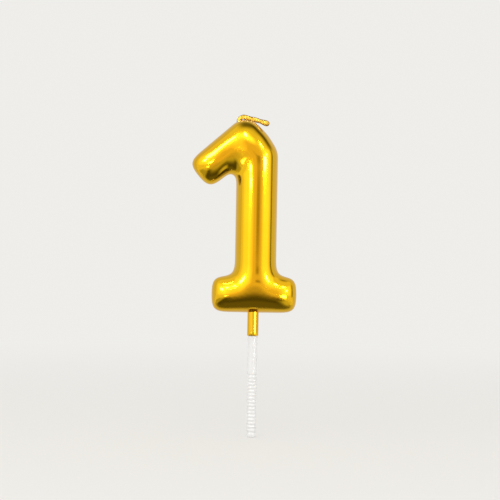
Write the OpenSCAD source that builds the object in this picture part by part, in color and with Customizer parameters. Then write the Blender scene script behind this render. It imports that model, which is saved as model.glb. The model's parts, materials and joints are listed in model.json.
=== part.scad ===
// Number candle: a moulded wax numeral one with a cotton wick, carried by a sleeve on a cake pick.
// Sizes are millimetres. +Z is up and the front faces -Y. The origin is on the pick's axis,
// where the sleeve seats on the pick's shoulder, which is the level of the cake's surface.

/* [Numeral] */
// Height of the wax, from the underside of the foot to the top of the bend
numeral_h = 76; // [70:1:84]
// Diameter of the upright
stem_d = 16.4; // [15:0.2:17.6]
// Sideways offset of the upright from the pick's axis
stem_x = 0.6; // [0:0.1:1.2]
// Diameter of the wax at the bend on top
bend_d = 14.4; // [13.4:0.2:16]
// Sideways offset of the bend's centre from the pick's axis
bend_x = -4.3; // [-5.2:0.1:-3.4]
// Height of the bend's centre above the upper end of the upright's axis
bend_rise = 7.6; // [6:0.2:9]
// Diameter of the slanting flag at its end
flag_d = 13.4; // [12.4:0.2:14.4]
// Length of the flag, from the bend's centre to its end
flag_l = 23.8; // [22.6:0.2:27]
// Slope of the flag, in degrees
flag_slope = 40; // [36:1:44]
// Length of the foot
foot_w = 33.6; // [32:0.2:38]
// Diameter of the foot
foot_d = 14.3; // [13.5:0.1:15.5]
// Sideways offset of the foot's middle from the pick's axis
foot_x = 0.2; // [-0.4:0.1:0.8]

/* [Softness of the moulding] */
// Rounding round the ends of the flag and the foot
end_round = 5.2; // [3.6:0.2:6]
// Radius to which those ends bulge from front to back
end_dome = 7; // [6:0.5:12]
// Fill between the flag and the upright
crotch_blend = 3.7; // [2.7:0.5:4.7]
// Diameter of the soft fill inside the bend, at its lower end
fill_d = 12.8; // [11.6:0.2:13.4]
// Length of the soft fill inside the bend
fill_l = 5.5; // [4.5:0.5:6.5]
// Width over which that fill runs into the flag and the upright
fill_blend = 2.7; // [2.1:0.2:3.5]
// Fill between the upright and the foot
foot_blend = 5; // [3.5:0.5:6]

/* [Wick] */
// Diameter of the wick
wick_d = 1.8; // [1.4:0.1:2]
// Diameter of the loose, fluffed end of the wick
wick_end_d = 2.1; // [1.8:0.1:2.4]
// Sideways place where the wick leaves the wax
wick_x = -6.6; // [-7.2:0.1:-6]
// Height of the wick's lower end inside the upright
wick_low_z = 30; // [26:1:50]
// Length of the free end, from its bend to its tip
wick_free = 10.8; // [9:0.1:14]
// Fall of the free end below level, in degrees
wick_droop = 14; // [10:1:18]

/* [Sleeve and pick] */
// Outer diameter of the sleeve
sleeve_d = 4.4; // [4.2:0.1:5]
// Bore of the sleeve
sleeve_bore = 3.3; // [3:0.1:3.4]
// Length of the sleeve that shows under the foot
sleeve_show = 9.1; // [6:0.1:12]
// Length of the sleeve inside the foot
sleeve_sunk = 12; // [8:0.5:14]
// Diameter of the pick's shank
pick_d = 3.7; // [3.6:0.1:4]
// Length of the pick's shank
pick_l = 40; // [34:1:60]
// Length of the pick's spigot, inside the sleeve
spigot_l = 16; // [8:0.5:16]
// Number of ribs round the lower shank
rib_count = 17; // [6:1:20]
// Spacing of the ribs
rib_pitch = 1.4; // [1.2:0.1:1.6]
// Depth of the grooves between the ribs
rib_depth = 0.2; // [0.2:0.05:0.35]

/* [Hidden] */
$fn = 64;
gold = [0.86, 0.63, 0.10];
pale_gold = [0.90, 0.70, 0.20];
white = [0.95, 0.94, 0.92];

// Clearances: of the spigot in the sleeve, of what the wax is cast round, and at the wick's bend
spigot_gap = 0.05;
cast_gap = 0.05;
bend_gap = 0.25;
wax_gap = 0.15;

// Axes of the numeral's bars, all in the plane y = 0
stem_r = stem_d / 2;
bend_r = bend_d / 2;
flag_r = flag_d / 2;
foot_r = foot_d / 2;
foot_z = sleeve_show + foot_r;
bend = [bend_x, 0, sleeve_show + numeral_h - bend_r];
shoulder = [stem_x, 0, bend.z - bend_rise];
junction = [stem_x, 0, foot_z];
stem_sunk = 1.6;
stem_low = junction + [0, 0, foot_r - stem_sunk];
flag_out = [-cos(flag_slope), 0, -sin(flag_slope)];
flag_down = [sin(flag_slope), 0, -cos(flag_slope)];
flag_tip = bend + flag_l * flag_out;
foot_left = [foot_x - foot_w / 2, 0, foot_z];
foot_right = [foot_x + foot_w / 2, 0, foot_z];
function toward(a, b) = (b - a) / norm(b - a);

// Centres of the hollow corners, which the sections there point at
crotch_turn = 2;
corner_share = 0.9;
foot_turn = corner_share * foot_blend;
crotch_x = stem_x - stem_r - crotch_turn;
crotch_fall = ((crotch_x - bend.x) * flag_down.x - flag_r - crotch_turn) / flag_down.z;
crotch = [crotch_x, 0, bend.z - crotch_fall];
left_corner = [stem_x - stem_r - foot_turn, 0, foot_z + foot_r + foot_turn];
right_corner = [stem_x + stem_r + foot_turn, 0, left_corner.z];

// The fill inside the bend, and the stretch below the bend's centre over which the crotch softens
fill_inset = 0.3;
fill_top = (bend + shoulder) / 2;
fill_top_r = (stem_r + bend_r) / 2 - fill_inset;
fill_low = fill_top + fill_l * toward(fill_top, crotch);
soft_from = -2.4;
soft_to = 7.2;

// Blends that never show a crease: k is the width over which two surfaces run into one
function soft_min(a, b, k) =
    let (h = max(k - abs(a - b), 0))
    h > 0 ? min(a, b) - h * h / (4 * k) : min(a, b);
function soft_max(a, b, k) = -soft_min(-a, -b, k);
function ease(t) = let (u = min(max(t, 0), 1)) u * u * (3 - 2 * u);

// Distance from p to a round bar from a to b, whose radius runs from ra to rb
function bar_gap(p, a, b, ra, rb) =
    let (
        run = norm(b - a),
        axis = (b - a) / run,
        along = (p - a) * axis,
        out = norm(p - a - along * axis),
        lean = (ra - rb) / run,
        near = min(max(along - out * lean / sqrt(1 - lean * lean), 0), run)
    )
    norm([out, along - near]) - (ra - lean * near);

// Distance from p to an end that bulges from front to back; out is how far p is past the end's flat
function end_gap(p, out) = (out + p.y * p.y / (2 * end_dome)) / sqrt(1 + pow(p.y / end_dome, 2));

// Distance from p to the wax: upright, head, flag, fill and foot run together
function wax_surface(p) =
    let (
        stem = bar_gap(p, stem_low, shoulder, stem_r, stem_r),
        head = bar_gap(p, shoulder, bend, stem_r, bend_r),
        flag_bar = bar_gap(p, flag_tip + flag_r * flag_out, bend, flag_r, bend_r),
        flag = soft_max(flag_bar, end_gap(p, (p - flag_tip) * flag_out), end_round),
        foot_reach = [foot_r, 0, 0],
        foot_bar = bar_gap(p, foot_left - foot_reach, foot_right + foot_reach, foot_r, foot_r),
        foot = soft_max(foot_bar, end_gap(p, abs(p.x - foot_x) - foot_w / 2), end_round),
        fill = bar_gap(p, fill_top, fill_low, fill_top_r, fill_d / 2),
        depth = (p - bend) * toward(bend, crotch),
        softness = crotch_blend * ease((depth - soft_from) / (soft_to - soft_from)),
        hook = soft_min(min(stem, head), flag, softness)
    )
    soft_min(soft_min(hook, fill, fill_blend), foot, foot_blend);

// How far the wax reaches from m along the direction d, found by stepping as far as is surely free
reach_steps = 16;
function reach(m, d, r = 0, steps = reach_steps) =
    steps == 0 ? r : reach(m, d, r - wax_surface(m + r * d), steps - 1);

// Stations along the axes, from the flag's end over the bend to the foot, and along the foot
seat = 0.8;
flag_steps = 3;
turn_steps = 8;
head_steps = 6;
neck_steps = 5;
stem_steps = 7;
root_steps = 8;
foot_steps = 8;
flag_seat = flag_tip - seat * flag_r * flag_out;
left_seat = foot_left + [seat * foot_r, 0, 0];
right_seat = foot_right - [seat * foot_r, 0, 0];
flag_turn = bend + ((crotch - bend) * flag_out) * flag_out;
stem_top = [stem_x, 0, crotch.z];
stem_foot = [stem_x, 0, left_corner.z];
function between(a, b, n) = [for (i = [0:n - 1]) a + (b - a) * i / n];
flag_run = between(flag_seat, flag_turn, flag_steps);
head_run = concat(
    between(flag_turn, bend, turn_steps),
    between(bend, shoulder, head_steps),
    between(shoulder, stem_top, neck_steps));
stem_run = between(stem_top, stem_foot, stem_steps);
root_run = concat(between(stem_foot, junction, root_steps), [junction]);
spine = concat(flag_run, head_run, stem_run, root_run);
left_run = [for (i = [1:foot_steps]) junction + (left_seat - junction) * i / foot_steps];
right_run = [for (i = [1:foot_steps]) junction + (right_seat - junction) * i / foot_steps];
stations = concat(spine, left_run, right_run);

// Each column is an arc over the wax from front to back: its station, and the side it passes on
inner = concat(
    [for (m = flag_run) flag_down],
    [for (m = head_run) toward(m, crotch)],
    [for (m = stem_run) [-1, 0, 0]],
    [for (m = root_run) toward(m, left_corner)]);
outer = concat(
    [for (m = flag_run) -flag_down],
    [for (m = head_run) toward(crotch, m)],
    [for (m = stem_run) [1, 0, 0]],
    [for (m = root_run) toward(m, right_corner)]);
fan_steps = 12;
function fan(station, from, to) =
    [for (i = [1:fan_steps - 1]) let (a = from + (to - from) * i / fan_steps) [station, [cos(a), 0, sin(a)]]];
function slope(d) = atan2(d.z, d.x);
spine_end = len(spine) - 1;
left_end = spine_end + foot_steps;
right_end = left_end + foot_steps;
down = [0, 0, -1];
columns = concat(
    [for (i = [0:spine_end]) [i, inner[i]]],
    [for (i = [spine_end + 1:left_end]) [i, toward(stations[i], left_corner)]],
    fan(left_end, slope(left_corner - left_seat), 270),
    [for (i = [left_end:-1:spine_end]) [i, down]],
    [for (i = [left_end + 1:right_end]) [i, down]],
    fan(right_end, -90, slope(right_corner - right_seat)),
    [for (i = [right_end:-1:left_end + 1]) [i, toward(stations[i], right_corner)]],
    [for (i = [spine_end:-1:0]) [i, outer[i]]],
    fan(0, 90 + flag_slope, 270 + flag_slope));

// The skin: crest points in front and behind each station, then the points along every column
arc_steps = 30;
front = [0, -1, 0];
station_count = len(stations);
column_count = len(columns);
skin_points = concat(
    [for (m = stations) m + reach(m, front) * front],
    [for (m = stations) m - reach(m, -front) * front],
    [for (c = columns) for (k = [1:arc_steps - 1])
        let (
            turn = 180 * k / arc_steps,
            d = cos(turn) * front + sin(turn) * c[1],
            m = stations[c[0]]
        )
        m + reach(m, d) * d]);
function skin_index(i, k) =
    k == 0 ? columns[i][0]
    : k == arc_steps ? station_count + columns[i][0]
    : 2 * station_count + i * (arc_steps - 1) + k - 1;
skin_faces = [for (i = [0:column_count - 1]) let (j = (i + 1) % column_count) for (k = [0:arc_steps - 1])
    let (
        a = skin_index(i, k),
        b = skin_index(j, k),
        c = skin_index(j, k + 1),
        d = skin_index(i, k + 1)
    )
    each concat(a != b ? [[a, b, c]] : [], c != d ? [[a, c, d]] : [])];

// The wick: up through the wax, out beside the bend, and over to the free end
wick_r = wick_d / 2;
wick_stand = 0.7;
wick_low_x = -0.5;
wick_low = [wick_low_x, 0, wick_low_z];
wick_root = [wick_x, 0, bend.z + sqrt(bend_r * bend_r - pow(wick_x - bend.x, 2)) + wick_stand];
wick_way = [cos(wick_droop), 0, -sin(wick_droop)];
wick_up = [sin(wick_droop), 0, cos(wick_droop)];
wick_over = bend_r + wick_r + wax_gap;
wick_lean = 1.3;
wick_bend_x = wick_x + wick_lean;
wick_bend = [wick_bend_x, 0, bend.z + (wick_over - (wick_bend_x - bend.x) * wick_up.x) / wick_up.z];

// The pick
sleeve_r = sleeve_d / 2;
sleeve_l = sleeve_show + sleeve_sunk;
spigot_r = sleeve_bore / 2 - spigot_gap;
pick_r = pick_d / 2;
edge = 0.3;
tip_bevel = 0.6;
rib_end = 1.4;
dome_step = 15;

// Turns what stands on the origin along +Z to stand on a and point at b
module aim(a, b) {
    run = b - a;
    translate(a)
        rotate([0, acos(run.z / norm(run)), atan2(run.y, run.x)])
            children();
}

// A straight round rod from a to b
module rod(a, b, r) {
    aim(a, b) cylinder(h = norm(b - a), r = r);
}

module wax_body() {
    bore_top = wick_root + 2 * wick_d * toward(wick_low, wick_root);
    color(gold)
        difference() {
            polyhedron(skin_points, skin_faces);
            cylinder(h = sleeve_l, r = sleeve_r + cast_gap);
            rod(wick_low, bore_top, wick_r + cast_gap);
        }
}

module wick() {
    color(pale_gold)
        union() {
            rod(wick_low, wick_root, wick_r);
            translate(wick_root) sphere(wick_r);
            rod(wick_root, wick_bend, wick_r);
            translate(wick_bend) sphere(wick_r);
        }
}

module wick_tip() {
    tip_r = wick_end_d / 2;
    start = wick_r + bend_gap;
    tip_z = wick_free - tip_r;
    color(pale_gold)
        aim(wick_bend, wick_bend + wick_way)
            rotate_extrude()
                polygon(concat(
                    [[0, start], [wick_r, start], [tip_r, tip_z]],
                    [for (a = [dome_step:dome_step:90 - dome_step]) [tip_r * cos(a), tip_z + tip_r * sin(a)]],
                    [[0, wick_free]]));
}

module gold_sleeve() {
    color(gold)
        rotate_extrude()
            polygon([
                [sleeve_bore / 2, 0],
                [sleeve_r - edge / 2, 0],
                [sleeve_r, edge / 2],
                [sleeve_r, sleeve_l],
                [sleeve_bore / 2, sleeve_l]
            ]);
}

module pick() {
    groove_r = pick_r - rib_depth;
    land = (rib_pitch - 2 * rib_depth) / 2;
    last_land_z = rib_end - pick_l;
    groove = [
        [pick_r, 2 * rib_depth + land],
        [groove_r, rib_depth + land],
        [groove_r, rib_depth],
        [pick_r, 0]
    ];
    color(white)
        rotate_extrude()
            polygon(concat(
                [[0, spigot_l], [spigot_r - edge, spigot_l], [spigot_r, spigot_l - edge]],
                [[spigot_r, 0], [pick_r, 0]],
                [for (i = [rib_count - 1:-1:0]) each [for (p = groove) p + [0, last_land_z + i * rib_pitch]]],
                [[pick_r, tip_bevel - pick_l], [pick_r - tip_bevel, -pick_l], [0, -pick_l]]));
}

wax_body();
wick();
wick_tip();
gold_sleeve();
pick();
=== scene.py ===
"""Number candle: a gold numeral one of moulded wax, its twisted wick, its sleeve and its cake pick."""

import json
import math

import bpy
from mathutils import Matrix, Vector


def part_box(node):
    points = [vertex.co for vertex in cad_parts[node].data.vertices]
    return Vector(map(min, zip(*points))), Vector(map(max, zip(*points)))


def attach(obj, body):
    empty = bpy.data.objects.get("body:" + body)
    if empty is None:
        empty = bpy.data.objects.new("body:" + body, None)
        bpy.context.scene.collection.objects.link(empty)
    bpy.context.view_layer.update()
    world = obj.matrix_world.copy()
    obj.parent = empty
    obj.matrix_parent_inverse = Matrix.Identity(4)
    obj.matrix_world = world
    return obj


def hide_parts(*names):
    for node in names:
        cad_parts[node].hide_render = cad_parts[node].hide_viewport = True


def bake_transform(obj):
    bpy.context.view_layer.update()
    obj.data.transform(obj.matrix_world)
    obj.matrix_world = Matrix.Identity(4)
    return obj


bl_info = {
    "name": "Number candle",
    "version": (1, 0, 0),
    "blender": (4, 5, 0),
    "location": "3D View > Sidebar > Candle",
    "description": "Dresses the frame of a numeral-one cake candle and sets its studio",
    "category": "Object",
}

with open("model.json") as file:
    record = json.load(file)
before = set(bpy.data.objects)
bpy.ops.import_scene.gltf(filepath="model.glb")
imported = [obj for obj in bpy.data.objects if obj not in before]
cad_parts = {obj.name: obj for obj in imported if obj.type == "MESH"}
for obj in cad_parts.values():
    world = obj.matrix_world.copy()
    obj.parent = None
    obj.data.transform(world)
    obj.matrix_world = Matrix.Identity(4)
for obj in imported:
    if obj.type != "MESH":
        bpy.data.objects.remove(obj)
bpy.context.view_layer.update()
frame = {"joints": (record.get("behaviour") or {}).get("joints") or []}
MM = 0.001

wax_low, wax_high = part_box("wax_body")
wick_low, wick_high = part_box("wick")
tip_low, tip_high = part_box("wick_tip")
sleeve_low, sleeve_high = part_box("gold_sleeve")
pick_low, pick_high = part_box("pick")
joints = {joint["name"]: joint for joint in frame["joints"]}
wick_bend = Vector(joints["wick_raise"]["pos_m"])
UP = Vector((0, 0, 1))


# Settings that a user would change

def length(name, description, default):
    """A length in metres."""
    return bpy.props.FloatProperty(
        name=name, description=description, default=default, precision=5, unit="LENGTH", subtype="DISTANCE"
    )


def count(name, description, default, least):
    """A number of like things."""
    return bpy.props.IntProperty(name=name, description=description, default=default, min=least)


def tint(name, description, default):
    """A linear colour."""
    return bpy.props.FloatVectorProperty(
        name=name, description=description, default=default, size=3, min=0.0, max=1.0, subtype="COLOR"
    )


class NumeralSettings(bpy.types.PropertyGroup):
    """Sizes of the moulded numeral."""

    stem_d: length("Upright", "Diameter of the upright", 16.4 * MM)
    stem_x: length("Upright offset", "Sideways offset of the upright from the pick", 0.6 * MM)
    stem_sunk: length("Upright sunk", "How far the upright's axis runs into the foot", 0.9 * MM)
    bend_d: length("Bend", "Diameter of the wax at the bend on top", 14.4 * MM)
    bend_x: length("Bend offset", "Sideways offset of the bend's centre from the pick", -4.3 * MM)
    bend_rise: length("Bend rise", "Height of the bend above the upright's axis", 7.6 * MM)
    flag_d: length("Flag", "Diameter of the flag at its end", 13.4 * MM)
    flag_l: length("Flag length", "Length of the flag from the bend to its end", 23.8 * MM)
    flag_slope: bpy.props.FloatProperty(
        name="Flag slope", description="Slope of the flag", default=math.radians(40), subtype="ANGLE"
    )
    foot_w: length("Foot length", "Length of the foot", 33.6 * MM)
    foot_d: length("Foot", "Diameter of the foot", 14.3 * MM)
    foot_x: length("Foot offset", "Sideways offset of the foot from the pick", 0.2 * MM)
    end_round: length("End rounding", "Softness round the ends of the flag and foot", 7.8 * MM)
    end_dome: length("End dome", "Radius to which those ends bulge from front to back", 7.0 * MM)
    crotch_turn: length("Crotch turn", "Radius of the turn from the flag into the upright", 2.0 * MM)
    crotch_fill: length("Crotch fill", "Softness between the flag and the upright", 5.6 * MM)
    soft_from: length("Crotch fill from", "Depth from the bend's centre where it starts", -2.4 * MM)
    soft_to: length("Crotch fill to", "Depth from the bend's centre where it is full", 7.2 * MM)
    fill_d: length("Bend fill", "Diameter of the soft fill inside the bend, at its lower end", 12.8 * MM)
    fill_l: length("Bend fill length", "Length of the soft fill inside the bend", 5.5 * MM)
    fill_inset: length("Bend fill inset", "How far the fill's upper end lies inside the head", 0.3 * MM)
    fill_soft: length("Bend fill softness", "Softness between that fill, the flag and the upright", 4.0 * MM)
    foot_fill: length("Foot fill", "Softness between the upright and the foot", 7.5 * MM)
    sway: length("Hand-poured sway", "Unevenness of the moulded surface", 0.05 * MM)
    sway_size: length("Sway size", "Spacing of that unevenness", 26.0 * MM)
    cell: length("Cell", "Spacing of the surface's points", 0.36 * MM)


class WickSettings(bpy.types.PropertyGroup):
    """Sizes of the twisted cotton wick."""

    plies: count("Plies", "Plies in the wick", 2, least=1)
    ply_offset: length("Ply offset", "Distance of each ply from the wick's axis", 0.17 * MM)
    ply_pitch: length("Ply pitch", "Length of one full turn of the plies", 7.6 * MM)
    yarns: count("Yarns", "Yarns in each ply", 14, least=3)
    yarn_offset: length("Yarn offset", "Distance of each yarn from its ply's axis", 0.60 * MM)
    yarn_pitch: length("Yarn pitch", "Length of one full turn of the yarns", 6.0 * MM)
    yarn_r: length("Yarn radius", "Radius of one yarn", 0.22 * MM)
    step: length("Step", "Spacing of the points along a yarn", 0.16 * MM)
    mouth_depth: length("Mouth depth", "How deep the inner run and the free end meet", 3.0 * MM)
    rise: length("Rise", "Height above the wax where the wick turns over", 0.2 * MM)
    settle: length("Settling", "How far the bend settles onto the wax", 0.6 * MM)
    sag: length("Sag", "How far the tip hangs below the frame's straight free end", 0.75 * MM)
    arch: length("Arch", "How far the free end arches above a straight line", 0.25 * MM)
    tip_inset: length("Tip inset", "How far the yarns' axis stops short of the frame's tip", 0.3 * MM)
    bend_reach: length("Bend reach", "Half the length over which the wick bends as it is raised", 0.9 * MM)
    flare: bpy.props.FloatProperty(
        name="Flare", description="Widening of the loose end", default=1.25, min=1.0, subtype="FACTOR"
    )


class SleeveSettings(bpy.types.PropertyGroup):
    """Sizes of the sleeve."""

    wall: length("Wall", "Thickness of the sleeve's wall", 0.55 * MM)
    rim: length("Rim", "Rounding of the sleeve's rims", 0.14 * MM)


class PickSettings(bpy.types.PropertyGroup):
    """Sizes of the pick."""

    spigot_d: length("Spigot", "Diameter of the spigot inside the sleeve", 3.2 * MM)
    shoulder: length("Shoulder", "Height over which the shank narrows to the spigot", 0.08 * MM)
    rib_pitch: length("Rib pitch", "Spacing of the ribs", 1.4 * MM)
    rib_depth: length("Rib depth", "Depth of the grooves between the ribs", 0.2 * MM)
    rib_run: length("Ribbed length", "Length of the ribbed part of the shank", 23.8 * MM)
    rib_end: length("Plain end", "Plain length below the last groove", 1.4 * MM)
    tip_bevel: length("Tip rounding", "Rounding of the blunt tip", 0.6 * MM)


class FinishSettings(bpy.types.PropertyGroup):
    """Colours of the finishes."""

    gold: tint("Gold lacquer", "Colour of the metallic lacquer", (0.97, 0.53, 0.004))
    gold_pale: tint("Pale lacquer", "Colour of the lacquer where it lies thin", (0.96, 0.56, 0.006))
    # Painted reflection: this tint replaces the gold's colour wherever it is seen mirrored in a glossy
    # surface
    reflection_tint: tint("Gold echo", "Tint of the lacquer where it is mirrored in itself", (0.50, 0.42, 0.25))
    # Painted shade: a deeper orange mixed in where the lacquer faces squarely to the front or the back
    amber_shade: tint("Amber lacquer", "Colour of the lacquer where it lies thick", (0.93, 0.43, 0.003))
    cotton: tint("Gilt cotton", "Colour of the gilt wick", (0.66, 0.37, 0.012))
    cotton_bare: tint("Bare cotton", "Colour of the wick where the gilding is thin", (0.72, 0.44, 0.025))
    # Painted shade: a dark brown laid on the wick's upper and lower sides
    cotton_edge_shade: tint("Cotton edge", "Colour of the wick on its upper and lower sides", (0.15, 0.06, 0.003))
    white: tint("White plastic", "Colour of the pick", (0.87, 0.87, 0.87))
    floor: tint("Floor", "Colour of the floor and the air above it", (0.86, 0.85, 0.825))


# Node helpers, for shader trees and geometry trees alike

def feed(tree, socket, value):
    """Links a socket to another, or sets its value."""
    if isinstance(value, bpy.types.NodeSocket):
        tree.links.new(value, socket)
    else:
        socket.default_value = value


def put(tree, kind, inputs=None, **options):
    """Adds a node with its options, and feeds its inputs by name."""
    node = tree.nodes.new(kind)
    for name, value in options.items():
        setattr(node, name, value)
    for name, value in (inputs or {}).items():
        feed(tree, node.inputs[name], value)
    return node


def calc(tree, operation, *values):
    """A Math node's result."""
    node = put(tree, "ShaderNodeMath", operation=operation)
    for socket, value in zip(node.inputs, values):
        feed(tree, socket, value)
    return node.outputs[0]


def vector(tree, operation, *values):
    """A Vector Math node's result, a number for a length or a dot product."""
    node = put(tree, "ShaderNodeVectorMath", operation=operation)
    for socket, value in zip(node.inputs, values):
        feed(tree, socket, value)
    return node.outputs["Value" if operation in {"LENGTH", "DOT_PRODUCT"} else "Vector"]


def scaled(tree, value, factor):
    """A vector times a number."""
    node = put(tree, "ShaderNodeVectorMath", {"Vector": value, "Scale": factor}, operation="SCALE")
    return node.outputs["Vector"]


def ramp(tree, value, low, high, start, end, smooth=True):
    """A value mapped from one range to another and held at its ends."""
    kind = "SMOOTHSTEP" if smooth else "LINEAR"
    places = {"Value": value, "From Min": low, "From Max": high, "To Min": start, "To Max": end}
    return put(tree, "ShaderNodeMapRange", places, interpolation_type=kind).outputs["Result"]


def noise(tree, place, scale, detail):
    """A noise texture's value."""
    inputs = {"Vector": place, "Scale": scale, "Detail": detail}
    return put(tree, "ShaderNodeTexNoise", inputs).outputs["Fac"]


def moved(tree, geometry, offset):
    """A geometry with its points moved."""
    return put(tree, "GeometryNodeSetPosition", {"Geometry": geometry, "Offset": offset}).outputs[0]


def new_group(kind, name, inputs, outputs):
    """A node group with named sockets, and its input and output nodes."""
    tree = bpy.data.node_groups.new(name, kind)
    for title, socket in inputs.items():
        tree.interface.new_socket(name=title, in_out="INPUT", socket_type="NodeSocket" + socket)
    for title, socket in outputs.items():
        tree.interface.new_socket(name=title, in_out="OUTPUT", socket_type="NodeSocket" + socket)
    return tree, tree.nodes.new("NodeGroupInput").outputs, tree.nodes.new("NodeGroupOutput").inputs


def grow(name, seed, tree, values):
    """Runs a geometry tree on seed data and keeps the result as a plain mesh object."""
    scratch = bpy.data.objects.new(name + "_seed", seed)
    bpy.context.scene.collection.objects.link(scratch)
    modifier = scratch.modifiers.new("Grow", "NODES")
    modifier.node_group = tree
    for item in tree.interface.items_tree:
        if item.in_out == "INPUT" and item.name in values:
            modifier[item.identifier] = values[item.name]
    depsgraph = bpy.context.evaluated_depsgraph_get()
    mesh = bpy.data.meshes.new_from_object(scratch.evaluated_get(depsgraph), depsgraph=depsgraph)
    mesh.name = name
    bpy.data.objects.remove(scratch)
    if not mesh.polygons:
        raise RuntimeError(f"{name} came out empty")
    piece = bpy.data.objects.new(name, mesh)
    bpy.context.scene.collection.objects.link(piece)
    return piece


def finish_tree(tree, geometry, material, output):
    """Ends a geometry tree: smooth, realised and with its material."""
    smooth = put(tree, "GeometryNodeSetShadeSmooth", {"Geometry": geometry}).outputs[0]
    real = put(tree, "GeometryNodeRealizeInstances", {"Geometry": smooth}).outputs[0]
    dressed = put(tree, "GeometryNodeSetMaterial", {"Geometry": real, "Material": material}).outputs[0]
    tree.links.new(dressed, output)


# Materials

def speckle_group():
    """Fine and broad unevenness of a coated surface, as masks and a height."""
    name = "Speckle"
    if name in bpy.data.node_groups:
        return bpy.data.node_groups[name]
    sizes = {"Fine size": "Float", "Broad size": "Float"}
    masks = {"Fine": "Float", "Broad": "Float", "Height": "Float"}
    tree, given, made = new_group("ShaderNodeTree", name, sizes, masks)
    place = put(tree, "ShaderNodeTexCoord").outputs["Object"]
    fine = noise(tree, place, calc(tree, "DIVIDE", 1.0, given["Fine size"]), 2.0)
    broad = noise(tree, place, calc(tree, "DIVIDE", 1.0, given["Broad size"]), 3.0)
    tree.links.new(ramp(tree, fine, low=0.3, high=0.7, start=0.0, end=1.0), made["Fine"])
    tree.links.new(ramp(tree, broad, low=0.3, high=0.7, start=0.0, end=1.0), made["Broad"])
    fine_share, broad_share = 0.65, 0.35
    height = calc(tree, "MULTIPLY_ADD", broad, broad_share, calc(tree, "MULTIPLY", fine, fine_share))
    tree.links.new(height, made["Height"])
    return tree


def coated(name, fine_size, broad_size, tones, rough, bump_depth):
    """A material whose colour, roughness and bump follow the speckle; returns it, its tree and its shader."""
    material = bpy.data.materials.new(name)
    material.use_nodes = True
    tree = material.node_tree
    shader = tree.nodes["Principled BSDF"]
    speckle = put(tree, "ShaderNodeGroup", node_tree=speckle_group())
    speckle.inputs["Fine size"].default_value = fine_size
    speckle.inputs["Broad size"].default_value = broad_size
    mix = put(tree, "ShaderNodeMix", {"Factor": speckle.outputs["Broad"]}, data_type="RGBA")
    mix.inputs["A"].default_value = (*tones[0], 1.0)
    mix.inputs["B"].default_value = (*tones[1], 1.0)
    tree.links.new(mix.outputs["Result"], shader.inputs["Base Color"])
    tree.links.new(ramp(tree, speckle.outputs["Fine"], 0.0, 1.0, *rough), shader.inputs["Roughness"])
    bump = put(tree, "ShaderNodeBump", {"Height": speckle.outputs["Height"], "Distance": bump_depth})
    bump.inputs["Strength"].default_value = 1.0
    tree.links.new(bump.outputs["Normal"], shader.inputs["Normal"])
    return material, tree, shader


def overlay(tree, shader, factor, tone):
    """Mixes another tone into the base colour."""
    under = shader.inputs["Base Color"].links[0].from_socket
    mix = put(tree, "ShaderNodeMix", {"Factor": factor, "A": under, "B": (*tone, 1.0)}, data_type="RGBA")
    tree.links.new(mix.outputs["Result"], shader.inputs["Base Color"])


def frontness(tree):
    """How squarely a surface faces the front or the back, from 0 to 1."""
    normal = put(tree, "ShaderNodeNewGeometry").outputs["Normal"]
    return calc(tree, "ABSOLUTE", put(tree, "ShaderNodeSeparateXYZ", {"Vector": normal}).outputs["Y"])


def echoed(tree):
    """1 where a surface is seen in another one's gloss."""
    return put(tree, "ShaderNodeLightPath").outputs["Is Glossy Ray"]


def gold_lacquer(finish):
    """Metallic lacquer over wax, slight orange peel, painted shade front and back, painted reflection tint.
    """
    material, tree, shader = coated(
        "gold_lacquer", fine_size=0.9 * MM, broad_size=14 * MM, tones=(finish.gold, finish.gold_pale),
        rough=(0.108, 0.118), bump_depth=0.002 * MM
    )
    shader.inputs["Metallic"].default_value = 1.0
    shader.inputs["Coat Weight"].default_value = 0.2
    shader.inputs["Coat Roughness"].default_value = 0.06
    # Painted shade: a deeper orange on the faces square to the front and back
    shaded = ramp(tree, frontness(tree), low=0.93, high=1.0, start=0.0, end=0.9)
    overlay(tree, shader, shaded, finish.amber_shade)
    # Painted reflection: a paler tint wherever the lacquer is seen in gloss
    overlay(tree, shader, echoed(tree), finish.reflection_tint)
    return material


def gilt_cotton(finish):
    """Gold brushed onto waxed cotton yarn, painted shade on its upper and lower sides, painted reflection
    tint.
    """
    material, tree, shader = coated(
        "gilt_cotton", fine_size=0.22 * MM, broad_size=2.5 * MM, tones=(finish.cotton, finish.cotton_bare),
        rough=(0.46, 0.56), bump_depth=0.008 * MM
    )
    shader.inputs["Metallic"].default_value = 0.4
    # Painted shade: darker where the yarn faces up or down rather than to the front or the back
    edge = ramp(tree, frontness(tree), low=0.50, high=0.92, start=1.0, end=0.0)
    overlay(tree, shader, edge, finish.cotton_edge_shade)
    # Painted reflection: a paler tint wherever the cotton is seen in gloss
    overlay(tree, shader, echoed(tree), finish.reflection_tint)
    return material


def gold_tube(finish):
    """Metallised plastic tube."""
    material, _, shader = coated(
        "gold_tube", fine_size=0.5 * MM, broad_size=6 * MM, tones=(finish.gold, finish.gold_pale),
        rough=(0.08, 0.14), bump_depth=0.003 * MM
    )
    shader.inputs["Metallic"].default_value = 1.0
    shader.inputs["Coat Weight"].default_value = 0.4
    shader.inputs["Coat Roughness"].default_value = 0.1
    return material


def white_plastic(finish):
    """Moulded white plastic that lets a little light in."""
    dimmed = tuple(0.97 * part for part in finish.white)
    material, _, shader = coated(
        "white_plastic", fine_size=0.35 * MM, broad_size=5 * MM, tones=(finish.white, dimmed),
        rough=(0.34, 0.46), bump_depth=0.008 * MM
    )
    shader.inputs["Subsurface Weight"].default_value = 0.25
    shader.inputs["Subsurface Radius"].default_value = (1.0, 0.95, 0.9)
    shader.inputs["Subsurface Scale"].default_value = 0.6 * MM
    return material


# The numeral

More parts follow.
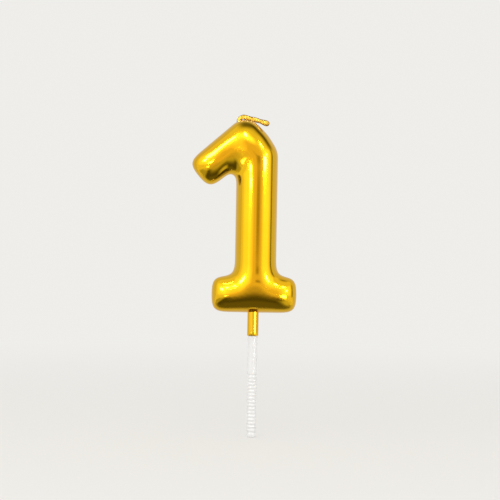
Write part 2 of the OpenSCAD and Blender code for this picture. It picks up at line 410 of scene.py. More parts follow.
def bar_group():
    """Distance to a round bar between two points, whose radius runs from one end to the other."""
    ends = {"From": "Vector", "To": "Vector", "Radius from": "Float", "Radius to": "Float"}
    tree, given, made = new_group("GeometryNodeTree", "Round bar", ends, {"Distance": "Float"})
    place = put(tree, "GeometryNodeInputPosition").outputs[0]
    run = vector(tree, "SUBTRACT", given["To"], given["From"])
    run_length = vector(tree, "LENGTH", run)
    axis = vector(tree, "NORMALIZE", run)
    offset = vector(tree, "SUBTRACT", place, given["From"])
    along = vector(tree, "DOT_PRODUCT", offset, axis)
    out = vector(tree, "LENGTH", vector(tree, "SUBTRACT", offset, scaled(tree, axis, along)))
    lean = calc(tree, "DIVIDE", calc(tree, "SUBTRACT", given["Radius from"], given["Radius to"]), run_length)
    upright = calc(tree, "SQRT", calc(tree, "SUBTRACT", 1.0, calc(tree, "MULTIPLY", lean, lean)))
    shift = calc(tree, "MULTIPLY", out, calc(tree, "DIVIDE", lean, upright))
    near = calc(tree, "MAXIMUM", calc(tree, "SUBTRACT", along, shift), 0.0)
    near = calc(tree, "MINIMUM", near, run_length)
    past = calc(tree, "SUBTRACT", along, near)
    spread = calc(tree, "MULTIPLY_ADD", out, out, calc(tree, "MULTIPLY", past, past))
    radius = calc(tree, "SUBTRACT", given["Radius from"], calc(tree, "MULTIPLY", lean, near))
    tree.links.new(calc(tree, "SUBTRACT", calc(tree, "SQRT", spread), radius), made["Distance"])
    return tree


# The skin is the shell of a volume whose density fades over this distance. It is pulled true, then eased.
SKIN_FADE = 20 * MM
SKIN_PULLS = 3
SKIN_EASING = 12
# The sway's noise stays below this value, so it only ever pushes the skin inwards
SWAY_TOP = 1.2


def numeral_tree():
    """Upright, head, flag and foot run together into one soft moulded skin."""
    sizes = {
        "Stem radius": "Float", "Bend radius": "Float", "Flag radius": "Float", "Foot radius": "Float",
        "Stem low": "Vector", "Shoulder": "Vector", "Bend": "Vector", "Inward": "Vector",
        "Flag tip": "Vector", "Flag way": "Vector", "Foot left": "Vector", "Foot right": "Vector",
        "Fill top": "Vector", "Fill low": "Vector", "Fill top radius": "Float", "Fill low radius": "Float",
        "Soft from": "Float", "Soft to": "Float", "Crotch fill": "Float", "Bend fill": "Float",
        "End rounding": "Float", "End dome": "Float", "Foot fill": "Float",
        "Sway": "Float", "Sway size": "Float", "Low corner": "Vector", "High corner": "Vector",
        "Cells X": "Int", "Cells Y": "Int", "Cells Z": "Int", "Material": "Material",
    }
    tree, given, made = new_group("GeometryNodeTree", "Numeral", sizes, {"Geometry": "Geometry"})
    place = put(tree, "GeometryNodeInputPosition").outputs[0]
    bars = bar_group()

    def bar(start, end, start_r, end_r):
        ends = {"From": start, "To": end, "Radius from": start_r, "Radius to": end_r}
        return put(tree, "GeometryNodeGroup", ends, node_tree=bars).outputs[0]

    out = put(tree, "ShaderNodeSeparateXYZ", {"Vector": place}).outputs["Y"]
    lean = calc(tree, "DIVIDE", out, given["End dome"])
    bulge = calc(tree, "MULTIPLY", calc(tree, "MULTIPLY", out, lean), 0.5)
    steepness = calc(tree, "SQRT", calc(tree, "MULTIPLY_ADD", lean, lean, 1.0))

    def ended(bar_distance, past_end):
        face = calc(tree, "DIVIDE", calc(tree, "ADD", past_end, bulge), steepness)
        return calc(tree, "SMOOTH_MAX", bar_distance, face, given["End rounding"])

    stem = bar(given["Stem low"], given["Shoulder"], given["Stem radius"], given["Stem radius"])
    head = bar(given["Shoulder"], given["Bend"], given["Stem radius"], given["Bend radius"])
    flag_way = given["Flag way"]
    past_tip = vector(tree, "ADD", given["Flag tip"], scaled(tree, flag_way, given["Flag radius"]))
    flag = bar(past_tip, given["Bend"], given["Flag radius"], given["Bend radius"])
    tip_face = vector(tree, "DOT_PRODUCT", vector(tree, "SUBTRACT", place, given["Flag tip"]), flag_way)
    flag = ended(flag, tip_face)
    foot_way = vector(tree, "NORMALIZE", vector(tree, "SUBTRACT", given["Foot right"], given["Foot left"]))
    overrun = scaled(tree, foot_way, given["Foot radius"])
    left = vector(tree, "SUBTRACT", given["Foot left"], overrun)
    right = vector(tree, "ADD", given["Foot right"], overrun)
    foot = bar(left, right, given["Foot radius"], given["Foot radius"])
    left_face = vector(tree, "DOT_PRODUCT", vector(tree, "SUBTRACT", given["Foot left"], place), foot_way)
    right_face = vector(tree, "DOT_PRODUCT", vector(tree, "SUBTRACT", place, given["Foot right"]), foot_way)
    foot = ended(foot, calc(tree, "MAXIMUM", left_face, right_face))

    fill = bar(given["Fill top"], given["Fill low"], given["Fill top radius"], given["Fill low radius"])
    depth = vector(tree, "DOT_PRODUCT", vector(tree, "SUBTRACT", place, given["Bend"]), given["Inward"])
    softness = ramp(tree, depth, given["Soft from"], given["Soft to"], 0.0, given["Crotch fill"])
    hook = calc(tree, "SMOOTH_MIN", calc(tree, "MINIMUM", stem, head), flag, softness)
    hook = calc(tree, "SMOOTH_MIN", hook, fill, given["Bend fill"])
    skin = calc(tree, "SMOOTH_MIN", hook, foot, given["Foot fill"])

    block = {
        "Density": calc(tree, "SUBTRACT", 0.5, calc(tree, "MULTIPLY", skin, 1 / SKIN_FADE)),
        "Min": given["Low corner"], "Max": given["High corner"],
        "Resolution X": given["Cells X"], "Resolution Y": given["Cells Y"], "Resolution Z": given["Cells Z"],
    }
    volume = put(tree, "GeometryNodeVolumeCube", block).outputs[0]
    mesh = put(tree, "GeometryNodeVolumeToMesh", {"Volume": volume, "Threshold": 0.5}).outputs[0]
    normal = put(tree, "GeometryNodeInputNormal").outputs["Normal"]
    for _ in range(SKIN_PULLS):
        mesh = moved(tree, mesh, scaled(tree, normal, calc(tree, "MULTIPLY", skin, -1.0)))
    blur = put(tree, "GeometryNodeBlurAttribute", data_type="FLOAT_VECTOR")
    tree.links.new(place, next(socket for socket in blur.inputs if socket.name == "Value" and socket.enabled))
    blur.inputs["Iterations"].default_value = SKIN_EASING
    eased = next(socket for socket in blur.outputs if socket.enabled)
    mesh = put(tree, "GeometryNodeSetPosition", {"Geometry": mesh, "Position": eased}).outputs[0]
    wave = noise(tree, place, calc(tree, "DIVIDE", 1.0, given["Sway size"]), 1.0)
    push = calc(tree, "MULTIPLY", calc(tree, "SUBTRACT", wave, SWAY_TOP), given["Sway"])
    mesh = moved(tree, mesh, scaled(tree, normal, push))
    finish_tree(tree, mesh, given["Material"], made["Geometry"])
    return tree


class CANDLE_OT_numeral(bpy.types.Operator):
    """Moulds the wax numeral and lacquers it"""

    bl_idname = "candle.numeral"
    bl_label = "Numeral"

    def execute(self, context):
        sizes = context.scene.candle_numeral
        finish = context.scene.candle_finish
        stem_r, bend_r = sizes.stem_d / 2, sizes.bend_d / 2
        flag_r, foot_r = sizes.flag_d / 2, sizes.foot_d / 2
        foot_z = wax_low.z + foot_r
        bend = Vector((sizes.bend_x, 0, wax_high.z - bend_r))
        shoulder = Vector((sizes.stem_x, 0, bend.z - sizes.bend_rise))
        flag_way = Vector((-math.cos(sizes.flag_slope), 0, -math.sin(sizes.flag_slope)))
        flag_down = Vector((math.sin(sizes.flag_slope), 0, -math.cos(sizes.flag_slope)))
        crotch_x = sizes.stem_x - stem_r - sizes.crotch_turn
        crotch_fall = ((crotch_x - bend.x) * flag_down.x - flag_r - sizes.crotch_turn) / flag_down.z
        crotch = Vector((crotch_x, 0, bend.z - crotch_fall))
        fill_top = (bend + shoulder) / 2
        fill_low = fill_top + sizes.fill_l * (crotch - fill_top).normalized()
        margin = Vector((2, 2, 2)) * sizes.cell
        low, high = wax_low - margin, wax_high + margin
        cells = [round(side / sizes.cell) for side in high - low]
        values = {
            "Stem radius": stem_r, "Bend radius": bend_r, "Flag radius": flag_r, "Foot radius": foot_r,
            "Stem low": (sizes.stem_x, 0, foot_z + foot_r - sizes.stem_sunk),
            "Shoulder": shoulder, "Bend": bend, "Inward": (crotch - bend).normalized(),
            "Soft from": sizes.soft_from, "Soft to": sizes.soft_to, "Crotch fill": sizes.crotch_fill,
            "Flag tip": bend + sizes.flag_l * flag_way, "Flag way": flag_way,
            "Fill top": fill_top, "Fill top radius": (stem_r + bend_r) / 2 - sizes.fill_inset,
            "Fill low": fill_low, "Fill low radius": sizes.fill_d / 2, "Bend fill": sizes.fill_soft,
            "Foot left": (sizes.foot_x - sizes.foot_w / 2, 0, foot_z),
            "Foot right": (sizes.foot_x + sizes.foot_w / 2, 0, foot_z),
            "End rounding": sizes.end_round, "End dome": sizes.end_dome, "Foot fill": sizes.foot_fill,
            "Sway": sizes.sway, "Sway size": sizes.sway_size, "Low corner": low, "High corner": high,
            "Cells X": cells[0], "Cells Y": cells[1], "Cells Z": cells[2], "Material": gold_lacquer(finish),
        }
        numeral = grow("wax_numeral", bpy.data.meshes.new("seed"), numeral_tree(), values)
        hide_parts("wax_body")
        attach(numeral, "candle")
        return {"FINISHED"}


# The wick

def twist_step(tree, curve, strands, offset, pitch, spread):
    """Copies each curve and winds the copies round it."""
    amount = {"Geometry": curve, "Amount": strands}
    copies = put(tree, "GeometryNodeDuplicateElements", amount, domain="SPLINE")
    along = put(tree, "GeometryNodeSplineParameter")
    tangent = put(tree, "GeometryNodeInputTangent").outputs[0]
    normal = put(tree, "GeometryNodeInputNormal").outputs["Normal"]
    turns = calc(tree, "DIVIDE", along.outputs["Length"], pitch)
    start = calc(tree, "DIVIDE", copies.outputs["Duplicate Index"], strands)
    angle = calc(tree, "MULTIPLY", calc(tree, "ADD", turns, start), 2 * math.pi)
    turn = {"Vector": normal, "Axis": tangent, "Angle": angle}
    side = put(tree, "ShaderNodeVectorRotate", turn, rotation_type="AXIS_ANGLE").outputs[0]
    return moved(tree, copies.outputs["Geometry"], scaled(tree, side, calc(tree, "MULTIPLY", offset, spread)))


# Shares of a run's length where its end starts to flare and then to close
FLARE_FROM = 0.78
CLOSE_FROM = 0.93
# Least share of a yarn's radius, at the very tip
TIP_YARN = 0.3
YARN_SIDES = 8
ROUTE_STEPS = 16


def wick_tree():
    """Yarns twisted into plies, and plies twisted into a wick, along the seed's curve."""
    sizes = {
        "Route": "Geometry", "Plies": "Int", "Ply offset": "Float", "Ply pitch": "Float",
        "Yarns": "Int", "Yarn offset": "Float", "Yarn pitch": "Float", "Yarn radius": "Float",
        "Step": "Float", "Flare": "Float", "Material": "Material",
    }
    tree, given, made = new_group("GeometryNodeTree", "Twisted wick", sizes, {"Geometry": "Geometry"})
    spacing = {"Curve": given["Route"], "Length": given["Step"]}
    route = put(tree, "GeometryNodeResampleCurve", spacing, mode="LENGTH").outputs[0]
    along = put(tree, "GeometryNodeSplineParameter").outputs["Factor"]
    flare = ramp(tree, along, FLARE_FROM, CLOSE_FROM, 1.0, given["Flare"])
    close = ramp(tree, along, CLOSE_FROM, 1.0, 1.0, 0.0, smooth=False)
    dome = calc(tree, "SQRT", calc(tree, "MULTIPLY", close, calc(tree, "SUBTRACT", 2.0, close)))
    spread = calc(tree, "MULTIPLY", flare, dome)
    plies = twist_step(tree, route, given["Plies"], given["Ply offset"], given["Ply pitch"], spread)
    yarns = twist_step(tree, plies, given["Yarns"], given["Yarn offset"], given["Yarn pitch"], spread)
    section = {"Resolution": YARN_SIDES, "Radius": given["Yarn radius"]}
    ring = put(tree, "GeometryNodeCurvePrimitiveCircle", section).outputs["Curve"]
    tube = {
        "Curve": yarns, "Profile Curve": ring, "Fill Caps": True,
        "Scale": calc(tree, "MAXIMUM", dome, TIP_YARN),
    }
    mesh = put(tree, "GeometryNodeCurveToMesh", tube).outputs[0]
    finish_tree(tree, mesh, given["Material"], made["Geometry"])
    return tree


def smooth_route(name, points):
    """A smooth curve through the points."""
    curve = bpy.data.curves.new(name, "CURVE")
    curve.dimensions = "3D"
    curve.twist_mode = "MINIMUM"
    curve.resolution_u = ROUTE_STEPS
    spline = curve.splines.new("BEZIER")
    spline.bezier_points.add(len(points) - 1)
    for knot, point in zip(spline.bezier_points, points):
        knot.co = point
        knot.handle_left_type = knot.handle_right_type = "AUTO"
    return curve


# Shares of the free end at which its route has a point
FREE_POINTS = (0.0, 0.15, 0.4, 0.7)


class CANDLE_OT_wick(bpy.types.Operator):
    """Twists the wick: the run inside the wax, and the free end folded over the bend"""

    bl_idname = "candle.wick"
    bl_label = "Wick"

    def execute(self, context):
        sizes = context.scene.candle_wick
        values = {
            "Plies": sizes.plies, "Ply offset": sizes.ply_offset, "Ply pitch": sizes.ply_pitch,
            "Yarns": sizes.yarns, "Yarn offset": sizes.yarn_offset, "Yarn pitch": sizes.yarn_pitch,
            "Yarn radius": sizes.yarn_r, "Step": sizes.step, "Flare": 1.0,
            "Material": gilt_cotton(context.scene.candle_finish),
        }
        tree = wick_tree()
        wick_r = (wick_high.y - wick_low.y) / 2
        root = Vector((wick_low.x + wick_r, 0, wax_high.z + sizes.rise))
        low_end = Vector((wick_high.x - wick_r, 0, wick_low.z))
        mouth = root + (low_end - root).normalized() * sizes.mouth_depth
        core_route = smooth_route("wick_core_route", [low_end, (low_end + mouth) / 2, mouth])
        core = grow("wick_core", core_route, tree, values)
        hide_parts("wick")
        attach(core, "candle")

        tip = Vector((tip_high.x - sizes.tip_inset, 0, tip_low.z + wick_r - sizes.sag))
        settled = wick_bend - UP * sizes.settle
        points = [mouth, root]
        for share in FREE_POINTS:
            points.append(settled + (tip - settled) * share + UP * sizes.arch * 4 * share * (1 - share))
        points.append(tip)
        free_route = smooth_route("wick_free_route", points)
        free = grow("wick_free_end", free_route, tree, dict(values, Flare=sizes.flare))
        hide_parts("wick_tip")
        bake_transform(free)
        return {"FINISHED"}


# The sleeve

SLEEVE_SIDES = 96
RIM_STEPS = 4
WALL_CUTS = 12


def sleeve_tree():
    """A tube turned from its wall's section, with rounded rims."""
    sizes = {
        "Middle radius": "Float", "Wall": "Float", "Length": "Float", "Rim": "Float",
        "Middle": "Vector", "Material": "Material",
    }
    tree, given, made = new_group("GeometryNodeTree", "Sleeve", sizes, {"Geometry": "Geometry"})
    circle = {"Resolution": SLEEVE_SIDES, "Radius": given["Middle radius"]}
    path = put(tree, "GeometryNodeCurvePrimitiveCircle", circle).outputs["Curve"]
    path = put(tree, "GeometryNodeSetCurveNormal", {"Curve": path}, mode="Z_UP").outputs[0]
    wall = {"Width": given["Wall"], "Height": given["Length"]}
    section = put(tree, "GeometryNodeCurvePrimitiveQuadrilateral", wall).outputs[0]
    rim = {"Curve": section, "Radius": given["Rim"], "Count": RIM_STEPS, "Limit Radius": True}
    section = put(tree, "GeometryNodeFilletCurve", rim, mode="POLY").outputs[0]
    section = put(tree, "GeometryNodeSubdivideCurve", {"Curve": section, "Cuts": WALL_CUTS}).outputs[0]
    mesh = put(tree, "GeometryNodeCurveToMesh", {"Curve": path, "Profile Curve": section}).outputs[0]
    finish_tree(tree, moved(tree, mesh, given["Middle"]), given["Material"], made["Geometry"])
    return tree


class CANDLE_OT_sleeve(bpy.types.Operator):
    """Turns the gold sleeve between the foot and the pick"""

    bl_idname = "candle.sleeve"
    bl_label = "Sleeve"

    def execute(self, context):
        sizes = context.scene.candle_sleeve
        outer_r = (sleeve_high.x - sleeve_low.x) / 2
        values = {
            "Middle radius": outer_r - sizes.wall / 2, "Wall": sizes.wall, "Rim": sizes.rim,
            "Length": sleeve_high.z - sleeve_low.z, "Middle": (0, 0, (sleeve_high.z + sleeve_low.z) / 2),
            "Material": gold_tube(context.scene.candle_finish),
        }
        sleeve = grow("gold_tube", bpy.data.meshes.new("seed"), sleeve_tree(), values)
        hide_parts("gold_sleeve")
        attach(sleeve, "candle")
        return {"FINISHED"}


# The pick

RIB_STEPS = 20
PICK_SIDES = 48


def pick_tree():
    """A rod whose radius follows its height: spigot, shoulder, plain shank, ribs and blunt tip."""
    sizes = {
        "Top": "Float", "Bottom": "Float", "Spigot radius": "Float", "Shank radius": "Float",
        "Rib pitch": "Float", "Rib depth": "Float", "Ribs from": "Float", "Ribs to": "Float",
        "Shoulder": "Float", "Bevel": "Float", "Step": "Float", "Material": "Material",
    }
    tree, given, made = new_group("GeometryNodeTree", "Ribbed pick", sizes, {"Geometry": "Geometry"})
    low = put(tree, "ShaderNodeCombineXYZ", {"Z": given["Bottom"]}).outputs[0]
    high = put(tree, "ShaderNodeCombineXYZ", {"Z": given["Top"]}).outputs[0]
    line = put(tree, "GeometryNodeCurvePrimitiveLine", {"Start": low, "End": high}).outputs[0]
    spacing = {"Curve": line, "Length": given["Step"]}
    line = put(tree, "GeometryNodeResampleCurve", spacing, mode="LENGTH").outputs[0]
    place = put(tree, "GeometryNodeInputPosition").outputs[0]
    height = put(tree, "ShaderNodeSeparateXYZ", {"Vector": place}).outputs["Z"]
    rib = calc(tree, "DIVIDE", calc(tree, "SUBTRACT", height, given["Ribs to"]), given["Rib pitch"])
    groove = ramp(tree, calc(tree, "PINGPONG", rib, 0.5), low=0.0, high=0.5, start=0.0, end=1.0)
    above = calc(tree, "GREATER_THAN", height, given["Ribs to"])
    below = calc(tree, "LESS_THAN", height, given["Ribs from"])
    ribbed = calc(tree, "MULTIPLY", above, below)
    cut = calc(tree, "MULTIPLY", calc(tree, "MULTIPLY", groove, ribbed), given["Rib depth"])
    radius = calc(tree, "SUBTRACT", given["Shank radius"], cut)
    radius = ramp(tree, height, 0.0, given["Shoulder"], radius, given["Spigot radius"])
    tip = calc(tree, "SUBTRACT", height, given["Bottom"])
    from_tip = calc(tree, "SUBTRACT", 1.0, ramp(tree, tip, 0.0, given["Bevel"], 0.0, 1.0, smooth=False))
    rounding = calc(tree, "SQRT", calc(tree, "SUBTRACT", 1.0, calc(tree, "MULTIPLY", from_tip, from_tip)))
    inset = calc(tree, "MULTIPLY", calc(tree, "SUBTRACT", 1.0, rounding), given["Bevel"])
    radius = calc(tree, "SUBTRACT", radius, inset)
    section = {"Resolution": PICK_SIDES, "Radius": 1.0}
    ring = put(tree, "GeometryNodeCurvePrimitiveCircle", section).outputs["Curve"]
    rod = {"Curve": line, "Profile Curve": ring, "Scale": radius, "Fill Caps": True}
    mesh = put(tree, "GeometryNodeCurveToMesh", rod).outputs[0]
    finish_tree(tree, mesh, given["Material"], made["Geometry"])
    return tree


class CANDLE_OT_pick(bpy.types.Operator):
    """Moulds the ribbed white pick"""

    bl_idname = "candle.pick"
    bl_label = "Pick"

    def execute(self, context):
        sizes = context.scene.candle_pick
        ribs_to = pick_low.z + sizes.rib_end
        values = {
            "Top": pick_high.z, "Bottom": pick_low.z, "Spigot radius": sizes.spigot_d / 2,
            "Shank radius": (pick_high.x - pick_low.x) / 2, "Shoulder": sizes.shoulder,
            "Rib pitch": sizes.rib_pitch, "Rib depth": sizes.rib_depth,
            "Ribs to": ribs_to, "Ribs from": ribs_to + sizes.rib_run, "Bevel": sizes.tip_bevel,
            "Step": sizes.rib_pitch / RIB_STEPS, "Material": white_plastic(context.scene.candle_finish),
        }
        pick = grow("ribbed_pick", bpy.data.meshes.new("seed"), pick_tree(), values)
        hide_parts("pick")
        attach(pick, "pick")
        return {"FINISHED"}


# The studio. Sizes and distances are metres, and angles are degrees from straight in front and from level.

MIDDLE = Vector((0, 0, 45)) * MM
HEAD = Vector((0, 0, 80)) * MM
FLAG = Vector((-13, 0, 74)) * MM
LEFT_SIDE = Vector((0, 0, 65)) * MM
RIGHT_SIDE = Vector((0, 0, 76)) * MM
SLEEVE_END = Vector((0, 0, 0))
FAR = 0.8
NEAR = 0.128
FLOOR_HALF = 60.0
BULB_SIDES = 32

# The even share is the part of a lamp or card, across and along it, before its soft edge starts.
# Soft lamps about the middle: azimuth, elevation, half width and height, level, even share
LAMPS = (
    ("left_lamp", -49, 20, (0.60, 0.425), 0.42, (0.30, 0.66)),
    ("left_inner_lamp", -30, 20, (0.30, 0.425), 0.30, (0.3, 0.66)),
    ("right_lamp", 54, 14, (0.43, 0.325), 0.52, (0.38, 0.6)),
    ("front_lamp", 0, 35, (0.40, 0.20), 1.1, (0.2, 0.2)),
)

# Bulbs for the gloss: place they light, distance, azimuth, elevation, backward lean, half sizes, level
BULBS = (
    ("left_low_bulb", MIDDLE, FAR, -50, 17, 0, (0.080, 0.075), 45.0),
    ("left_mid_bulb", MIDDLE, FAR, -35, 27, 0, (0.036, 0.036), 40.0),
    ("right_low_bulb", MIDDLE, FAR, 52, 13, 0, (0.045, 0.045), 45.0),
    ("right_high_bulb", MIDDLE, FAR, 46, 32, 0, (0.038, 0.038), 45.0),
    ("front_bulb", MIDDLE, FAR, -6, 38, 0, (0.075, 0.065), 45.0),
    ("flag_bulb", FLAG, NEAR, -43, 34, 75, (0.020, 0.075), 30.0),
    ("left_near_bulb", LEFT_SIDE, NEAR, -31, 0, 65, (0.013, 0.009), 45.0),
    ("right_near_bulb", RIGHT_SIDE, NEAR, 43, 0, 65, (0.020, 0.016), 45.0),
    ("sleeve_bulb", SLEEVE_END, NEAR, 42, 0, 0, (0.022, 0.012), 16.0),
)

# Standing cards: place they face, distance, azimuth, elevation, half width and height, level, even share
STANDING_CARDS = (
    ("camera_card", MIDDLE, 0.76, 10.5, 1.5, (0.21, 0.055), 0.36, (0.1, 0.5)),
    ("back_card", MIDDLE, 0.05, 180, 0, (0.6, 0.3), 0.66, (0.9, 0.9)),
    ("right_side_card", MIDDLE, 0.6, 92, 0, (0.10, 0.5), 0.18, (0.3, 0.3)),
    ("left_side_card", MIDDLE, 0.6, -97, 0, (0.09, 0.5), 0.60, (0.2, 0.3)),
    ("slope_card", HEAD, 0.05, 92, 48, (0.024, 0.042), 0.08, (0.0, 0.3)),
    ("top_card", HEAD, 0.06, 0, 88, (0.06, 0.05), 0.15, (0.1, 0.1)),
)

# Floor cards, each 1 mm above the one before: middle, half width and depth, level, even share
FLOOR_CARDS = (
    ("far_low_card", (-0.02, -0.20), (0.24, 0.32), 0.62, (0.3, 0.1)),
    ("near_low_card", (-0.015, -0.075), (0.13, 0.145), 0.07, (0.5, 0.3)),
    ("middle_low_card", (0.0, -0.19), (0.08, 0.13), 0.55, (0.2, 0.0)),
    ("dim_low_card", (-0.008, -0.025), (0.06, 0.035), 0.12, (0.3, 0.3)),
    ("under_card", (0.0, 0.055), (0.16, 0.06), 0.60, (0.6, 0.6)),
    ("left_low_card", (-0.15, -0.05), (0.07, 0.09), 0.42, (0.4, 0.4)),
    ("right_low_card", (0.07, -0.045), (0.045, 0.045), 0.60, (0.2, 0.2)),
    ("left_glint_card", (-0.18, -0.28), (0.025, 0.06), 20.0, (0.0, 0.0)),
    ("right_glint_card", (0.16, -0.19), (0.035, 0.05), 9.0, (0.0, 0.0)),
)

# The picture: its side and the frame's origin in pixels, the size of a pixel, and the candle's lean in it
PICTURE_SIDE = 500
ORIGIN_COLUMN, ORIGIN_ROW = 252.7, 335.7
PIXEL = 0.394 * MM
LEAN = math.radians(1.0)
LENS = 125.0
SENSOR = 36.0


def bare_material(name):
    """A material without its usual shader, with its tree and its surface socket."""
    material = bpy.data.materials.new(name)
    material.use_nodes = True
    tree = material.node_tree
    tree.nodes.remove(tree.nodes["Principled BSDF"])
    return material, tree, tree.nodes["Material Output"].inputs["Surface"]


def floor_material(tone):
    """Pale floor that fades into the air far away, so no edge shows."""
    material, tree, surface = bare_material("pale_floor")
    away = vector(tree, "LENGTH", put(tree, "ShaderNodeTexCoord").outputs["Object"])
    matt = put(tree, "ShaderNodeBsdfDiffuse")
    matt.inputs["Color"].default_value = (*tone, 1.0)
    air = put(tree, "ShaderNodeEmission")
    air.inputs["Color"].default_value = (*tone, 1.0)
    fade = ramp(tree, away, low=0.06, high=0.7, start=0.35, end=1.0)
    mix = put(tree, "ShaderNodeMixShader", {"Fac": fade})
    tree.links.new(matt.outputs[0], mix.inputs[1])
    tree.links.new(air.outputs[0], mix.inputs[2])
    tree.links.new(mix.outputs[0], surface)
    return material


def panel_material(name, level, even, covers):
    """A studio panel with a soft edge: a glow added to what is behind it, or a card covering that."""
    material, tree, surface = bare_material(name)
    place = put(tree, "ShaderNodeTexCoord").outputs["Object"]
    across = put(tree, "ShaderNodeSeparateXYZ", {"Vector": place})
    wide = ramp(tree, calc(tree, "ABSOLUTE", across.outputs["X"]), even[0], 1.0, 1.0, 0.0)
    tall = ramp(tree, calc(tree, "ABSOLUTE", across.outputs["Y"]), even[1], 1.0, 1.0, 0.0)
    fall = calc(tree, "MULTIPLY", wide, tall)
    clear = put(tree, "ShaderNodeBsdfTransparent")
    glow = put(tree, "ShaderNodeEmission")
    if covers:
        glow.inputs["Strength"].default_value = level
        join = put(tree, "ShaderNodeMixShader", {"Fac": fall})
        tree.links.new(clear.outputs[0], join.inputs[1])
        tree.links.new(glow.outputs[0], join.inputs[2])
    else:
        tree.links.new(calc(tree, "MULTIPLY", fall, level), glow.inputs["Strength"])
        join = put(tree, "ShaderNodeAddShader")
        tree.links.new(clear.outputs[0], join.inputs[0])
        tree.links.new(glow.outputs[0], join.inputs[1])
    tree.links.new(join.outputs[0], surface)
    return material


def bulb_material(name, level):
    """An even glow."""
    material, tree, surface = bare_material(name)
    glow = put(tree, "ShaderNodeEmission")
    glow.inputs["Strength"].default_value = level
    tree.links.new(glow.outputs[0], surface)
    return material


def panel(name, middle, facing, half_size, material, sides=4):
    """A flat rectangle, or a disc of many sides, at a place, facing a point and hidden from the camera."""
    mesh = bpy.data.meshes.new(name)
    reach = math.sqrt(2) if sides == 4 else 1.0
    turns = [2 * math.pi * (side + 0.5) / sides for side in range(sides)]
    rim = [(reach * math.cos(turn), reach * math.sin(turn), 0) for turn in turns]
    mesh.from_pydata(rim, [], [tuple(range(sides))])
    mesh.materials.append(material)
    made = bpy.data.objects.new(name, mesh)
    made.location = middle
    made.rotation_euler = (facing - middle).to_track_quat("Z", "Y").to_euler()
    made.scale = (*half_size, 1.0)
    made.visible_camera = False
    made.visible_shadow = False
    bpy.context.scene.collection.objects.link(made)
    return made


def outward(azimuth, elevation, distance):
    """A step away from the candle, by its angles and its length."""
    a, e = math.radians(azimuth), math.radians(elevation)
    return Vector((math.sin(a) * math.cos(e), -math.cos(a) * math.cos(e), math.sin(e))) * distance


def lay_floor(scene, tone):
    """The pale floor under the pick's tip, and the air of the same colour."""
    mesh = bpy.data.meshes.new("floor")
    corners = ((-1, -1), (1, -1), (1, 1), (-1, 1))
    mesh.from_pydata([(x * FLOOR_HALF, y * FLOOR_HALF, pick_low.z) for x, y in corners], [], [(0, 1, 2, 3)])
    mesh.materials.append(floor_material(tone))
    floor = bpy.data.objects.new("floor", mesh)
    scene.collection.objects.link(floor)
    world = bpy.data.worlds.new("pale_air")
    world.use_nodes = True
    air = world.node_tree.nodes["Background"]
    air.inputs["Color"].default_value = (*tone, 1.0)
    air.inputs["Strength"].default_value = 1.0
    scene.world = world


def hang_lights():
    """The soft lamps, and the bulbs that only gloss shows."""
    for name, azimuth, elevation, half_size, level, even in LAMPS:
        material = panel_material(name, level, even, covers=False)
        panel(name, MIDDLE + outward(azimuth, elevation, FAR), MIDDLE, half_size, material)
    for name, lit, distance, azimuth, elevation, lean, half_size, level in BULBS:
        place = lit + outward(azimuth, elevation, distance)
        facing = place - outward(azimuth, elevation - lean, 1.0)
        bulb = panel(name, place, facing, half_size, bulb_material(name, level), BULB_SIDES)
        bulb.visible_diffuse = False


def place_cards():
    """The cards that only gloss shows."""
    for name, faced, distance, azimuth, elevation, half_size, level, even in STANDING_CARDS:
        place = faced + outward(azimuth, elevation, distance)
        card = panel(name, place, faced, half_size, panel_material(name, level, even, covers=True))
        card.visible_diffuse = False
    for lift, (name, (x, y), half_size, level, even) in enumerate(FLOOR_CARDS, start=1):
        place = Vector((x, y, pick_low.z + lift * MM))
        card = panel(name, place, place + UP, half_size, panel_material(name, level, even, covers=True))
        card.visible_diffuse = False


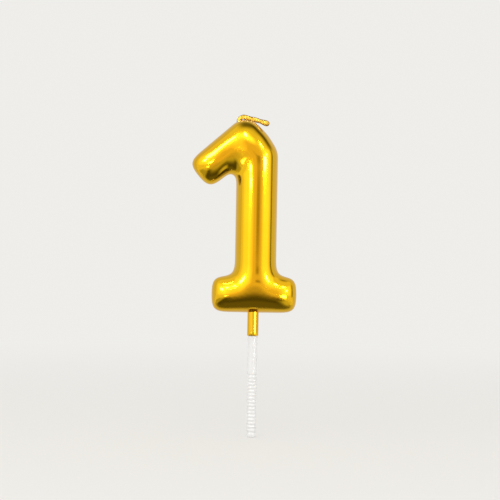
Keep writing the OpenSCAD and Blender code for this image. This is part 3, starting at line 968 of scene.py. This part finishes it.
def aim_camera(scene):
    """A level camera, square to the candle's front, that sees it as the picture does."""
    right = (PICTURE_SIDE / 2 - ORIGIN_COLUMN) * PIXEL
    rise = (ORIGIN_ROW - PICTURE_SIDE / 2) * PIXEL
    centre_x = right * math.cos(LEAN) - rise * math.sin(LEAN)
    centre_z = right * math.sin(LEAN) + rise * math.cos(LEAN)
    data = bpy.data.cameras.new("camera")
    data.lens = LENS
    data.sensor_width = SENSOR
    camera = bpy.data.objects.new("camera", data)
    distance = PICTURE_SIDE * PIXEL * LENS / SENSOR
    camera.location = (centre_x, -distance, centre_z)
    level = Matrix.Rotation(math.radians(90), 4, "X")
    camera.rotation_euler = (Matrix.Rotation(-LEAN, 4, "Y") @ level).to_euler()
    scene.collection.objects.link(camera)
    scene.camera = camera


class CANDLE_OT_stage(bpy.types.Operator):
    """Sets the pale floor, the soft lights, the cards and the camera"""

    bl_idname = "candle.stage"
    bl_label = "Studio"

    def execute(self, context):
        scene = context.scene
        lay_floor(scene, scene.candle_finish.floor)
        scene.view_settings.view_transform = "Standard"
        hang_lights()
        place_cards()
        aim_camera(scene)
        return {"FINISHED"}


class CANDLE_PT_panel(bpy.types.Panel):
    """Lists the candle's operators and settings"""

    bl_idname = "CANDLE_PT_panel"
    bl_label = "Number candle"
    bl_space_type = "VIEW_3D"
    bl_region_type = "UI"
    bl_category = "Candle"

    def draw(self, context):
        for maker in MAKERS:
            self.layout.operator(maker.bl_idname)
        for group in SETTINGS:
            box = self.layout.box()
            settings = getattr(context.scene, group)
            for name in settings.__annotations__:
                box.prop(settings, name)


SETTINGS = {
    "candle_numeral": NumeralSettings,
    "candle_wick": WickSettings,
    "candle_sleeve": SleeveSettings,
    "candle_pick": PickSettings,
    "candle_finish": FinishSettings,
}
MAKERS = (CANDLE_OT_stage, CANDLE_OT_numeral, CANDLE_OT_wick, CANDLE_OT_sleeve, CANDLE_OT_pick)


def register():
    """Registers the classes and hangs the settings on the scene."""
    for cls in (*SETTINGS.values(), *MAKERS, CANDLE_PT_panel):
        bpy.utils.register_class(cls)
    for name, group in SETTINGS.items():
        setattr(bpy.types.Scene, name, bpy.props.PointerProperty(type=group))


def unregister():
    """Takes the settings and classes away again."""
    for name in SETTINGS:
        delattr(bpy.types.Scene, name)
    for cls in reversed((*SETTINGS.values(), *MAKERS, CANDLE_PT_panel)):
        bpy.utils.unregister_class(cls)


def main():
    """Builds the candle and its studio."""
    register()
    bpy.ops.candle.stage()
    bpy.ops.candle.numeral()
    bpy.ops.candle.wick()
    bpy.ops.candle.sleeve()
    bpy.ops.candle.pick()


if __name__ == "__main__":
    main()
